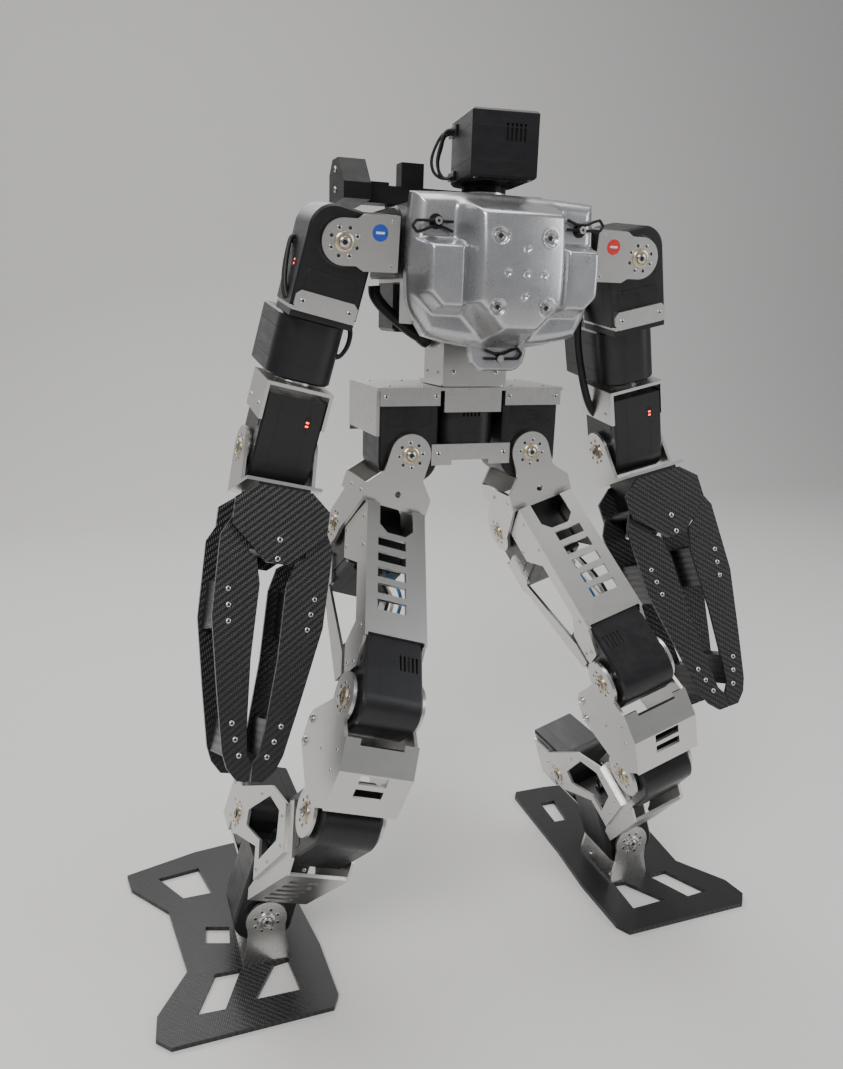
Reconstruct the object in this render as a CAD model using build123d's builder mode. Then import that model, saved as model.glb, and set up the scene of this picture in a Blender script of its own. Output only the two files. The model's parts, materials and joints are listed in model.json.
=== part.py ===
from build123d import *
import os

os.makedirs("parts", exist_ok=True)

# ---------------------------------------------------------------- sizes, mm
# Humanoid robot kit, about 520 mm tall. X is the robot's left, -Y its front,
# Z up, the soles stand on z = 0, x = 0 is the plane of symmetry.
W, L, H = 35.0, 56.0, 38.0          # servo case: across the output axis ends, long side, thick side
R_END = 17.5                        # output axis to the near short end
SHAFT_R, BORE_R = 3.0, 3.06         # output shaft and the hole that runs on it
PLATE = 2.0                         # sheet metal
GAP = 2.3                           # room for the horn disc between case and bracket
P0 = W / 2 + GAP                    # 19.8 inner face of a bracket plate
P1 = P0 + PLATE                     # 21.8 outer face
SH = P1 + 1.2                       # end of the output shaft
HIP_X, HIP_Z = 40.66, 326.25        # hip roll axes
ROLL = 18.0                         # legs spread, degrees
TILT = 44.0                         # thigh and shin channels lean, degrees
HIP_P = (14.4, 57.5)                # hip pitch axis (y, down) in the leg plane
K1 = (-92.4, 131.5)                 # upper knee axis
K2 = (-92.4, 200.5)                 # lower knee axis
ANK = (20.0, 268.0)                 # ankle pitch axis
ROLL_D = 307.1                      # hip roll axis to ankle roll axis
ROLL_Y = -15.5                      # middle of the ankle roll servo
SHO = (91.1, -27.9, 447.8)          # shoulder roll axis centre, left side
PITCH_X = 41.0                      # middle of the shoulder pitch servo
ARM_ROLL, ARM_PITCH, ELBOW = 13.3, -7.0, 28.0
ELB_D, ARM_Y = 126.0, 7.0           # elbow axis below the shoulder, arm axis behind it
HAND_Y = -26.7                      # front face of the finger plates in the hand
WAIST_Z = 364.75                    # top of the pelvis servos
MID_Y = 9.75                        # everything is set back by this, so the soles and knees straddle y = 0


# ---------------------------------------------------------------- helpers
def servo(loc, both=True, vents=None):
    """Servo case: output axis along local Y through the origin, case rising along +Z.
    vents: ("x", y, z) on the +X face, ("top", x, y) or ("foot", x, y) on the end faces."""
    with BuildPart() as s:
        with BuildSketch(Plane.XZ.offset(-W / 2)):
            with Locations((0, L / 2 - R_END)):
                r = Rectangle(H, L)
            fillet(r.vertices().sort_by(Axis.Y)[:2], 14)
            fillet(r.vertices().sort_by(Axis.Y)[-2:], 3)
        extrude(amount=W)
        chamfer(s.faces().filter_by(Axis.Y).edges(), 1.2)
        for side in (-1, 1) if both else (-1,):
            with BuildSketch(Plane.XZ.offset(-side * W / 2)):
                Circle(SHAFT_R)
            extrude(amount=-side * (SH - W / 2))
    part = s.part
    if vents:
        face, a, b = vents
        top = L - R_END
        for i in range(5):
            d = a + (i - 2) * 2.5
            if face == "x":
                slot = box(H / 2 - 1.5, H / 2 + 1, d - 0.6, d + 0.6, b - 4.5, b + 4.5)
            elif face == "top":
                slot = box(d - 0.6, d + 0.6, b - 4.5, b + 4.5, top - 1.5, top + 1)
            else:
                slot = box(d - 0.6, d + 0.6, b - 4.5, b + 4.5, -R_END - 1, -R_END + 1.5)
            part = cut(part, slot)
    return part.moved(loc)


def plate_x(x0, x1, pts, holes=(), rounds=(), cuts=()):
    """Flat plate between x0 and x1; pts are (y, z); rounds and holes are (y, z, r); cuts are polygons."""
    with BuildPart() as p:
        with BuildSketch(Plane.YZ.offset(x0)):
            if pts:
                Polygon(*pts, align=None)
            for y, z, r in rounds:
                with Locations((y, z)):
                    Circle(r)
            for y, z, r in holes:
                with Locations((y, z)):
                    Circle(r, mode=Mode.SUBTRACT)
            for c in cuts:
                Polygon(*c, align=None, mode=Mode.SUBTRACT)
        extrude(amount=x1 - x0)
    return p.part


def plate_y(y0, y1, pts, holes=(), rounds=(), cuts=()):
    """Flat plate between y0 and y1; pts are (x, z)."""
    with BuildPart() as p:
        with BuildSketch(Plane.XZ.offset(-y0)):
            if pts:
                Polygon(*pts, align=None)
            for x, z, r in rounds:
                with Locations((x, z)):
                    Circle(r)
            for x, z, r in holes:
                with Locations((x, z)):
                    Circle(r, mode=Mode.SUBTRACT)
            for c in cuts:
                Polygon(*c, align=None, mode=Mode.SUBTRACT)
        extrude(amount=-(y1 - y0))
    return p.part


def plate_z(z0, z1, pts, holes=(), cuts=(), r=0.0):
    """Flat plate between z0 and z1; pts are (x, y)."""
    with BuildPart() as p:
        with BuildSketch(Plane.XY.offset(z0)):
            s = Polygon(*pts, align=None)
            if r:
                fillet(s.vertices(), r)
            for x, y, hr in holes:
                with Locations((x, y)):
                    Circle(hr, mode=Mode.SUBTRACT)
            for c in cuts:
                Polygon(*c, align=None, mode=Mode.SUBTRACT)
        extrude(amount=z1 - z0)
    return p.part


def box(x0, x1, y0, y1, z0, z1, ch=0.0):
    with BuildPart() as p:
        with Locations(((x0 + x1) / 2, (y0 + y1) / 2, (z0 + z1) / 2)):
            Box(x1 - x0, y1 - y0, z1 - z0)
        if ch:
            chamfer(p.edges(), ch)
    return p.part


def fuse(*ps):
    with BuildPart() as p:
        for q in ps:
            add(q)
    return p.part


def cut(base, *ps):
    with BuildPart() as p:
        add(base)
        for q in ps:
            add(q, mode=Mode.SUBTRACT)
    return p.part


def cyl(loc, r, length):
    """Cylinder from loc's origin along its +Z."""
    with BuildPart() as p:
        Cylinder(r, length, align=(Align.CENTER, Align.CENTER, Align.MIN))
    return p.part.moved(loc)


def cyl_y(x, z, r, y0, y1):
    return cyl(Location((x, y1, z), (90, 0, 0)), r, y1 - y0)


def frame(origin, x_dir, z_dir):
    return Plane(origin=origin, x_dir=x_dir, z_dir=z_dir).location


def save(name, *solids):
    """One STEP file for a node; several solids only where the node is a set."""
    made = []
    for s in solids:
        made += [p.moved(Location((0, MID_Y, 0))) for p in s.solids()]
    piece = Compound(children=made) if len(made) > 1 else made[0]
    piece.label = name
    export_step(piece, f"parts/{name}.step")


def both(name, loc, *solids):
    """The piece on the left side at loc, and its mirror image on the right."""
    left = [s.moved(loc) for s in solids]
    save("left_" + name, *left)
    save("right_" + name, *[mirror(s, about=Plane.YZ) for s in left])


def rect(x0, x1, y0, y1):
    return [(x0, y0), (x1, y0), (x1, y1), (x0, y1)]


# ---------------------------------------------------------------- pelvis
T = WAIST_Z
save("pelvis_servos", servo(Location((HIP_X, 0, HIP_Z))), servo(Location((-HIP_X, 0, HIP_Z))),
     servo(frame((0, 0, T - W / 2), (1, 0, 0), (0, 1, 0)), both=False, vents=("foot", 0, -6)))
save("pelvis_frame", fuse(
    plate_z(T, T + PLATE, rect(-61.7, 61.7, -19.5, 40.5), holes=[(0, 0, 12)]),
    box(21.7, 59.7, -19.5, -17.5, T - 9, T + 1), box(-59.7, -21.7, -19.5, -17.5, T - 9, T + 1),
    box(-19, 19, -19.5, -17.5, T - 13, T + 1),
    box(59.7, 61.7, -17.4, 40.5, T - 9, T + 1), box(-61.7, -59.7, -17.4, 40.5, T - 27, T + 1),
    box(-61.7, 61.7, 38.5, 40.5, T - 30, T + 1)))
save("pelvis_strap", plate_y(-19.5, -17.5, rect(-26.5, 26.5, HIP_Z - 7, HIP_Z + 6),
                             holes=[(-22, HIP_Z, 1.2), (22, HIP_Z, 1.2)],
                             cuts=[rect(-13, 13, HIP_Z - 8, HIP_Z - 4)]))

# ---------------------------------------------------------------- torso
B0 = T + PLATE + 0.6                  # underside of the turning waist plate
SZ, SY = SHO[2], SHO[1]
T0, T1 = SZ - H / 2 - PLATE, SZ + H / 2 + PLATE   # shoulder servo box, outside
YF, YB = SY - R_END, SY - R_END + L               # its servos, front and back
save("torso_frame", fuse(
    plate_z(B0, B0 + PLATE, rect(-21, 21, -20, 22), holes=[(0, 0, BORE_R)], r=3),
    box(-21, -19, -17, 12, B0 + 1, T0 + 1), box(19, 21, -17, 12, B0 + 1, T0 + 1),
    box(-21, 21, -20, -18, B0 + 1, 398),
    box(-21, 21, -19, -17, B0 + 1, T0 + 1),
    plate_z(T0, T0 + PLATE, rect(-51.5, 51.5, YF, YB + PLATE)),
    plate_z(T1 - PLATE, T1, rect(-51.5, 51.5, YF, YB + PLATE)),
    box(-46, 46, YF - PLATE, YF + 4, T1 - PLATE, T1),
    box(-51.5, 51.5, YB, YB + PLATE, T0, T1),
    box(-51.5, -49.5, YF, YF + 20, 404, T0 + 1), box(49.5, 51.5, YF, YF + 20, 404, T0 + 1),
    box(-48, 48, YF - PLATE, YF, 451, T1),
    cut(cyl_y(43.35, 457.6, 2.0, -62.5, YF - 1), cyl(Location((39, -60.3, 457.6), (0, 90, 0)), 0.86, 9)),
    cut(cyl_y(-43.35, 457.6, 2.0, -62.5, YF - 1), cyl(Location((-48, -60.3, 457.6), (0, 90, 0)), 0.86, 9)),
    cut(cyl_y(0, 386, 2.0, -55, -19), cyl(Location((-5, -52.5, 386), (0, 90, 0)), 0.86, 10))))
save("shoulder_pitch_servos",
     servo(frame((PITCH_X, SY, SZ), (0, 0, -1), (0, 1, 0)), both=False),
     servo(frame((-PITCH_X, SY, SZ), (0, 0, 1), (0, 1, 0)), both=False))
save("controller_box", box(-42, 42, YB + PLATE, YB + PLATE + 32, 398, 464, ch=2))
with BuildPart() as rail:
    with BuildSketch(Plane.XY.offset(T1)):
        with Locations((-44, 10.2), (36, 10.2)):
            Rectangle(10, 4.4)
    extrude(amount=4)
    add(box(-78, 52, 6, 22, T1 + 3, T1 + 13))
    add(box(-40, -26, 9, 19, T1 + 12, T1 + 27))
    add(box(-62, -48, 8, 21, T1 + 12, T1 + 15))
with BuildPart() as horn_end:
    with BuildSketch(Plane.YZ.offset(-80)):
        Polygon((-8, T1 + 3), (24, T1 + 1), (24, T1 + 18), (17, T1 + 26), (4, T1 + 26), (-8, T1 + 12), align=None)
    extrude(amount=16)
rail_all = cut(fuse(rail.part, horn_end.part), cyl(Location((0, 14, T1 + 2)), 1.6, 12),
               cyl(Location((20, 14, T1 + 2)), 1.6, 12))
save("back_rail", rail_all)

HX, HY, HZ = 4.0, -12.0, 483.0        # head pan axis and the underside of the head
save("neck_plate", cut(fuse(plate_z(T1, T1 + 4, [(-20, -34), (26, -34), (32, -26), (32, -4), (-20, -4)]),
                            cyl(Location((HX, HY, T1 + 3.5)), 13, HZ - 0.6 - T1 - 3.5)),
                       cyl(Location((HX, HY, T1 + 1)), BORE_R, 20)))
head_loc = Location((HX, HY, 0), (0, 0, -8))
save("head_servo", servo(head_loc * frame((0, 0, HZ + W / 2), (1, 0, 0), (0, -1, 0)), both=False, vents=("top", 6, 6)))
loops = []
for dy, reach, r in ((-3, 10, 0.9), (0, 13, 0.9), (3, 8, 0.9)):
    with BuildPart() as lp:
        with BuildLine():
            wire = FilletPolyline((-H / 2 - 0.8, dy, HZ + 29), (-H / 2 - reach * 0.6, dy + 2, HZ + 26),
                                  (-H / 2 - reach, dy + 3, HZ + 10), (-H / 2 - reach * 0.5, dy + 2, HZ + 1),
                                  (-H / 2 - 0.8, dy, HZ + 4), radius=2.6)
        with BuildSketch(Plane(origin=wire @ 0, z_dir=wire % 0)):
            Circle(r)
        sweep()
    loops.append(lp.part.moved(head_loc))
save("head_cables", *loops)


# chest shell: a pressed sheet shell, open at the back
def shell_block(t):
    """The shell's outside for t = 0, its cavity for t = wall. Sections are (x, z, w, h, lower corner cut, r)."""
    back = -46 + (2 if t else 0)
    out = []
    for y0, y1, a, b in (
        (back, -58.5 + t, (0, 433, 114, 84, 16, 8), (0, 433, 104, 73, 14, 8)),
        (-52, -81.5 + t, (0, 433.5, 68, 80, 12, 8), (0, 433.5, 46, 58, 7, 8)),
        (-54, -72 + t, (43, 431, 26, 44, 6, 5), (43, 431, 20, 36, 5, 5)),
        (-54, -72 + t, (-43, 431, 26, 44, 6, 5), (-43, 431, 20, 36, 5, 5)),
    ):
        with BuildPart() as lf:
            for y, (cx, cz, w, h, k, r) in ((y0, a), (y1, b)):
                hw, hh = w / 2 - t, h / 2 - t
                with BuildSketch(Plane.XZ.offset(-y)) as sk:
                    with Locations((cx, cz)):
                        Polygon((-hw, hh), (-hw, k - hh), (k - hw, -hh), (hw - k, -hh), (hw, k - hh), (hw, hh), align=None)
                    fillet(sk.vertices(), max(r - t, 2))
            loft()
        out.append(lf.part)
    return fuse(*out)


tab = plate_y(-50, -47.6, [(-19, 397), (19, 397), (17, 384), (11, 379), (-11, 379), (-17, 384)], holes=[(0, 386, 2.06)])
outer = fuse(shell_block(0), tab)
shell = cut(outer, shell_block(2.4), *[cyl_y(s * 43.35, 457.6, 2.06, -64, -40) for s in (-1, 1)])
save("chest_shell", *sorted(shell.solids(), key=lambda s: -s.volume)[:1])


def clip(x, y, z, turn):
    with BuildPart() as c:
        with BuildLine():
            wire = FilletPolyline((-9, 0, 0), (8, 0, 0), (12, 0, 0.2), (14, 0, 3), (11.5, 0, 6), (8, 0, 5),
                                  (3, 0, 2.9), (-3, 0, 2.9), (-9, 0, 5), radius=1.0)
        with BuildSketch(Plane(origin=wire @ 0, z_dir=wire % 0)):
            Circle(0.8)
        sweep()
    return c.part.moved(Location((x, y, z), (0, turn, 0)))


CLIPS = ((43.35, -60.3, 457.6, 0), (-43.35, -60.3, 457.6, 180), (0, -52.5, 386, 0))
clips = [clip(*c) for c in CLIPS]
save("shell_clips", *clips)

# ---------------------------------------------------------------- arms
arm0 = Location(SHO, (-ARM_PITCH, 0, 0))
arm1 = arm0 * Location((0, 0, 0), (0, -ARM_ROLL, 0))
hand = arm1 * Location((0, ARM_Y, -ELB_D), (-ELBOW, 0, 0))
XI = PITCH_X + P0 - SHO[0]            # inner face of the plate on the pitch horn
ear = [(XI, -14.5), (-11, -14.5), (-7, -12), (0, -12), (0, 12), (-7, 12), (-11, 14.5), (XI, 14.5)]
both("shoulder_bracket", arm0, fuse(
    plate_y(-P1, -P0, ear, rounds=[(0, 0, 12)], holes=[(0, 0, BORE_R)]),
    plate_y(P0, P1, ear, rounds=[(0, 0, 12)], holes=[(0, 0, BORE_R)]),
    plate_x(XI, XI + PLATE, [(-P1, -14.5), (P1, -14.5), (P1, 14.5), (-P1, 14.5)], holes=[(0, 0, BORE_R)])))
both("shoulder_servo", arm1, servo(Location((0, 0, 0), (0, 180, 0))))
both("arm_block", arm1, box(-18, 18, -17.4, 17.4, -44, -L + R_END - PLATE))
SB = -L + R_END                       # underside of the shoulder servo
both("arm_strap", arm1, fuse(
    plate_y(-19.5, -17.5, [(-15, SB - PLATE), (15, SB - PLATE), (17.6, -37.5), (17.6, -32), (15, -29.5), (-15, -29.5),
                           (-17.6, -32), (-17.6, -37.5)], holes=[(-13.5, -35, 1.2), (13.5, -35, 1.2)]),
    box(-17.6, 17.6, -19, 19.5, SB - PLATE, SB), box(-17.6, 17.6, 17.5, 19.5, SB - PLATE, SB + 9)))
both("arm_servo", arm1, servo(frame((0, ARM_Y, -44 - W / 2), (-1, 0, 0), (0, 1, 0)), both=False))
EB = -44 - W - GAP                    # top of the elbow bracket
both("elbow_bracket", arm1, fuse(
    plate_z(EB - PLATE, EB, rect(-19.5, 19.5, ARM_Y - 19, ARM_Y + 19), holes=[(0, ARM_Y, BORE_R)]),
    box(-19.5, -17.5, ARM_Y - 19, ARM_Y + 19, EB - 22, EB), box(17.5, 19.5, ARM_Y - 19, ARM_Y + 19, EB - 22, EB)))
both("elbow_servo", arm1, servo(frame((0, ARM_Y, -ELB_D), (0, -1, 0), (0, 0, 1))))
side = [(-15, -24), (15, -24), (13, 0), (-13, 0)]
both("wrist_bracket", hand, fuse(
    plate_x(-P1, -P0, side, rounds=[(0, 0, 13)], holes=[(0, 0, BORE_R)]),
    plate_x(P0, P1, side, rounds=[(0, 0, 13)], holes=[(0, 0, BORE_R)]),
    box(-P1, P1, -29, 15, -24, -22)))
both("gripper_servo", hand, box(-15, 15, -29, 9, -62, -24))
PY0, PY1 = -31.0, 9.0                 # outer faces of the gripper
hexa = [(-16, -26), (16, -26), (27, -35), (27, -50), (6, -68), (-6, -68), (-27, -50), (-27, -35)]
FP = (21.0, -47.0)                    # finger pivot
both("palm", hand, fuse(plate_y(-31, -29, hexa), plate_y(9, 11, hexa),
                        cyl_y(FP[0], FP[1], 3, -30, 10), cyl_y(-FP[0], FP[1], 3, -30, 10)))
fing = [(16.3, -62.5), (16, -44), (26, -44), (32, -56), (31, -100), (23, -140), (16.5, -170), (13, -178), (7, -184),
        (0.5, -184), (0.5, -174.5), (3.4, -170), (5, -157), (7.5, -120), (7.5, -80), (11, -66)]
for tag, m in (("outer", 1), ("inner", -1)):
    pts = [(m * x, z) for x, z in fing]
    plates = [plate_y(y, y + 2, pts, rounds=[(m * FP[0], FP[1], 5.4)], holes=[(m * FP[0], FP[1], BORE_R)])
              for y in (-28.7, 6.7)]
    xs = sorted((m * 14, m * 28))
    xt = sorted((m * 8, m * 15))
    blocks = [box(xs[0], xs[1], -26.7, 6.7, -106, -80), box(xt[0], xt[1], -26.7, 6.7, -172, -152)]
    both("finger_" + tag, hand, *plates, *blocks)

# ---------------------------------------------------------------- legs
leg = Location((HIP_X, 0, HIP_Z), (0, -ROLL, 0))
C44, S44 = 0.71934, 0.69466


def th(u, v):
    """Thigh channel: u behind its axis line, v along it, to (y, z) in the leg plane."""
    return (-7.3 + u * C44 - v * S44, -(43.0 + u * S44 + v * C44))


def sn(u, v):
    """Shin channel, from the lower knee axis."""
    return (K2[0] + u * C44 + v * S44, -(K2[1] - u * S44 + v * C44))


thigh_loc = leg * Location((0, -7.3, -43.0), (-TILT, 0, 0))
shin_loc = leg * Location((0, K2[0], -K2[1]), (TILT, 0, 0))
hy, hz = HIP_P[0], -HIP_P[1]
front = [(-13, 0), (13, 0), (13, -13), (P1, -23), (P1, -34), (-P1, -34), (-P1, -23), (-13, -13)]
hip_side = [(-P1, -23), (6, -23), (hy + 13, hz + 6), (hy - 13, hz - 2), (-P1, -34)]
both("hip_bracket", leg, fuse(
    plate_y(-P1, -P0, front, rounds=[(0, 0, 13)], holes=[(0, 0, BORE_R), (0, -25, 2)]),
    plate_y(P0, P1, front, rounds=[(0, 0, 13)], holes=[(0, 0, BORE_R)]),
    *[plate_x(x, x + PLATE, hip_side, rounds=[(hy, hz, 14)], holes=[(hy, hz, BORE_R)]) for x in (-P1, P0)],
    box(-P1, -P0, 0, P1, -34, -23), box(P0, P1, 0, P1, -34, -23)))
# channels are drawn in their own frame: y = u, z = -v
slots = [rect(-6, 12, -35 - 10.5 * i, -28.5 - 10.5 * i) for i in range(5)]


def channel(u0, v0, v1, flange, slots, top=()):
    web = plate_y(u0, u0 + PLATE, rect(-19.3, 19.3, -v1, -v0), cuts=[*slots, *top])
    return fuse(web, *[plate_x(x, x + 1.8, flange) for x in (-19.3, 17.5)])


both("thigh_channel", thigh_loc, channel(
    -21, 5, 92, [(-21, -5), (12, -5), (12, -28), (-8, -42), (-8, -80), (6, -88), (6, -108), (-10, -108), (-19, -94), (-21, -94)],
    slots, top=[[(-11, 0), (11, 0), (11, -20), (6, -25), (-6, -25), (-11, -20)]]))
both("thigh_rod", thigh_loc, fuse(
    box(-19.3, 19.3, 44.7, 46.5, -30, -12), box(-19.3, -17.5, 31, 46.5, -36, -14), box(17.5, 19.3, 31, 46.5, -36, -14),
    *[plate_x(x, x + 1.8, [(35, -35), (43, -35), (19, -106), (10, -106), (10, -92)]) for x in (-19.3, 17.5)]))
hip_in = (HIP_P[0] + 7.3, HIP_P[1] - 43.0)
hu, hv = hip_in[0] * C44 + hip_in[1] * S44, -hip_in[0] * S44 + hip_in[1] * C44
k_in = (K1[0] + 7.3, K1[1] - 43.0)
ku, kv = k_in[0] * C44 + k_in[1] * S44, -k_in[0] * S44 + k_in[1] * C44
both("thigh_servos", thigh_loc, servo(frame((0, hu, -hv), (0, 1, 0), (0, 0, -1))),
     servo(frame((0, ku, -kv), (0, -1, 0), (0, 0, 1)), vents=("x", -8.5, 17)))
ky, kz = K1[0], -K1[1]
knee_side = [(ky - 25, kz - 30), (ky - 19, kz - 14), (ky - 10, kz - 8), (ky + 12, kz - 6), (ky + 36, kz - 24),
             (ky + 40, kz - 30), (ky + 39, kz - 46), (ky + 12, kz - 60), (ky - 8, kz - 62), (ky - 21, kz - 55)]
knee_front = [(ky - 19, kz - 14), (ky - 25, kz - 30), (ky - 21, kz - 55), (ky - 23, kz - 55.3), (ky - 27.1, kz - 30),
              (ky - 21, kz - 13.2)]
web = plate_x(-P1, P1, knee_front)
web = cut(web, box(-7.5, 9, ky - 40, ky, kz - 36.5, kz - 31), box(-7.5, 9, ky - 40, ky, kz - 45, kz - 39.5),
          box(-13, 13, ky - 30, ky - 10, kz - 16.5, kz - 10))
both("knee_bracket", leg, fuse(web, *[plate_x(x, x + PLATE, knee_side, rounds=[(ky, kz, 14), (ky, kz - 69, 14)],
                               holes=[(ky, kz, BORE_R), (ky, kz - 69, BORE_R), (ky + 34, kz - 29, 1.5), (ky + 34, kz - 43, 1.5)])
                               for x in (-P1, P0)],
                          box(-P1, P1, ky + 34, ky + 36, kz - 42, kz - 32)))
both("shin_channel", shin_loc, channel(
    -27, 31, 97, [(-27, -31), (-19, -24), (14, -24), (14, -44), (-6, -52), (-18.5, -91), (-20, -97), (-27, -97)],
    [rect(-6, 12, -48 - 10.5 * i, -43 - 10.5 * i) for i in range(5)]))
both("shin_servo", shin_loc, servo(frame((0, 0, 0), (0, 1, 0), (0, 0, -1))))
ay, az = ANK[0], -ANK[1]
plate_pts = [sn(-14, 33), sn(14, 33), sn(33, 60), (ay + 12, az + 14), (ay + 8, az - 10), (ay - 8, az - 10), sn(2, 84), sn(-18, 84)]
window = [sn(-4, 46), sn(13, 44), sn(27, 62), sn(30, 103), sn(21, 106), sn(4, 77), sn(-8, 76)]
both("shin_plates", leg, *[plate_x(x, x + 1.8, plate_pts, rounds=[(ay, az, 13)], holes=[(ay, az, BORE_R)], cuts=[window])
                           for x in (-21.1, 19.3)])
RZ = -ROLL_D
both("ankle_servos", leg, servo(frame((0, ay, az), (0, 0, 1), (0, 1, 0))),
     servo(Location((0, ROLL_Y, RZ))))
RB = ROLL_Y + W / 2                   # back of the roll servo
both("ankle_bracket", leg, fuse(
    plate_y(RB, RB + PLATE, rect(-17, 17, RZ - 10, az - 19), holes=[(0, RZ, 11.5)]),
    box(-17.5, 17.5, RB, ay + 38.5, az - 21, az - 19),
    box(-19, -17.5, ay + 15, ay + 38.5, az - 21, az + 12), box(17.5, 19, ay + 15, ay + 38.5, az - 21, az + 12)))

# ---------------------------------------------------------------- feet
ANK_X, ANK_Z = HIP_X + ROLL_D * 0.309017, HIP_Z - ROLL_D * 0.951057
foot = Location((ANK_X, 0, 0))
arm_pts = [(-15, 3), (15, 3), (15, 8), (12, 20), (12, ANK_Z), (-12, ANK_Z), (-12, 20), (-15, 8)]
both("foot_bracket", foot, fuse(
    *[plate_y(y, y + PLATE, arm_pts, rounds=[(0, ANK_Z, 13)], holes=[(0, ANK_Z, BORE_R)])
      for y in (ROLL_Y - P1, ROLL_Y + P0)],
    box(-15, 15, ROLL_Y - P1, ROLL_Y + P1, 3, 5)))
outline = [(80, 83), (78, 66), (55, 33), (49, -29), (70, -61), (72, -78), (64, -87), (-31, -87), (-36, -78),
           (-36, -31), (-32, 13), (-29, 94), (-25, 100), (3, 100), (30, 97)]
windows = [[(17, -38), (33, -37), (48, -67), (31, -68)], [(-13, -38), (-4, -39), (13, -66), (-15, -67)],
           [(30, 76), (59, 72), (44, 44), (24, 44)], [(-13, 77), (0, 77), (-4, 48), (-15, 48)],
           [(18, 4), (33, 9), (35, -7), (20, -12)]]
both("foot_plate", foot, plate_z(0, 3, outline, cuts=windows))
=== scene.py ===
import json
import math

import bpy
import numpy as np
from mathutils import Matrix, Vector


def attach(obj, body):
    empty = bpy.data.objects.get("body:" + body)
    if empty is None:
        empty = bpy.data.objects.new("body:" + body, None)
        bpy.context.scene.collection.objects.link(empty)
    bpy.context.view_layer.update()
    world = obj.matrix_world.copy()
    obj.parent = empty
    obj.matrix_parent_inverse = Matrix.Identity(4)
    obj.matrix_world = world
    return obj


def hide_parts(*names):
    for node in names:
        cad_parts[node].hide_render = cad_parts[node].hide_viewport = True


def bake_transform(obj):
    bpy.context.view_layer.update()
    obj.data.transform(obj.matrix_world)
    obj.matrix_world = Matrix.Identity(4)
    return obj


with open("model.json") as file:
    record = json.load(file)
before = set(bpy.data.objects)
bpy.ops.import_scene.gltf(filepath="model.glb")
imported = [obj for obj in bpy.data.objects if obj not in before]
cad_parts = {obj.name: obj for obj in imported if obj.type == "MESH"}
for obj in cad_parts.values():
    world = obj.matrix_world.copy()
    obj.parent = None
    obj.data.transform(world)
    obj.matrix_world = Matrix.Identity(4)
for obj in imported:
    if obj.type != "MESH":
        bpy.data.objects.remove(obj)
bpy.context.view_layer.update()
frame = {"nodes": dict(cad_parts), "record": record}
NODES = frame["nodes"]
RNG = np.random.default_rng(7)

# ------------------------------------------------------------------ frames
# Same driving sizes as the CAD model, in mm.
W, L, H, R_END = 35.0, 56.0, 38.0, 17.5
P0, P1 = 19.8, 21.8
HIP_X, HIP_Z, ROLL, TILT = 40.66, 326.25, 18.0, 44.0
HIP_P, K1, K2, ANK = (14.4, 57.5), (-92.4, 131.5), (-92.4, 200.5), (20.0, 268.0)
ROLL_D, ROLL_Y = 307.1, -15.5
SHO = (91.1, -27.9, 447.8)
PITCH_X = 41.0
ARM_ROLL, ARM_PITCH, ELBOW, ELB_D, ARM_Y = 13.3, -7.0, 28.0, 126.0, 7.0
T = 364.75
MID_Y = 9.75
T1 = SHO[2] + H / 2 + 2
HX, HY, HZ = 4.0, -12.0, 483.0
C44, S44 = 0.71934, 0.69466


def loc(t=(0, 0, 0), r=(0, 0, 0)):
    """Place t and intrinsic X, Y, Z turns r in degrees."""
    rx, ry, rz = [math.radians(a) for a in r]
    return (Matrix.Translation(t) @ Matrix.Rotation(rx, 4, "X") @ Matrix.Rotation(ry, 4, "Y")
            @ Matrix.Rotation(rz, 4, "Z"))


def axes(o, x, z):
    x, z = Vector(x).normalized(), Vector(z).normalized()
    y = z.cross(x)
    m = Matrix.Identity(4)
    for i, v in enumerate((x, y, z)):
        for k in range(3):
            m[k][i] = v[k]
    m.translation = Vector(o)
    return m


def at(o, n, up=(0, 0, 1)):
    """Frame at o whose +Z is n."""
    n, up = Vector(n).normalized(), Vector(up)
    if abs(n.dot(up)) > 0.95:
        up = Vector((0, 1, 0))
    return axes(o, up.cross(n), n)


I4 = Matrix.Identity(4)
arm0 = loc(SHO, (-ARM_PITCH, 0, 0))
arm1 = arm0 @ loc((0, 0, 0), (0, -ARM_ROLL, 0))
hand = arm1 @ loc((0, ARM_Y, -ELB_D), (-ELBOW, 0, 0))
leg = loc((HIP_X, 0, HIP_Z), (0, -ROLL, 0))
thigh = leg @ loc((0, -7.3, -43.0), (-TILT, 0, 0))
shin = leg @ loc((0, K2[0], -K2[1]), (TILT, 0, 0))
ANK_X, ANK_Z = HIP_X + ROLL_D * 0.309017, HIP_Z - ROLL_D * 0.951057
foot = loc((ANK_X, 0, 0))
head = loc((HX, HY, 0), (0, 0, -8))
hu = (HIP_P[0] + 7.3) * C44 + (HIP_P[1] - 43) * S44
hv = -(HIP_P[0] + 7.3) * S44 + (HIP_P[1] - 43) * C44
ku = (K1[0] + 7.3) * C44 + (K1[1] - 43) * S44
kv = -(K1[0] + 7.3) * S44 + (K1[1] - 43) * C44


# ------------------------------------------------------------------ materials
def new_mat(name):
    m = bpy.data.materials.new(name)
    m.use_nodes = True
    nt = m.node_tree
    b = nt.nodes["Principled BSDF"]
    return m, nt, b


def node(nt, kind, **props):
    n = nt.nodes.new(kind)
    for k, v in props.items():
        setattr(n, k, v)
    return n


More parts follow.
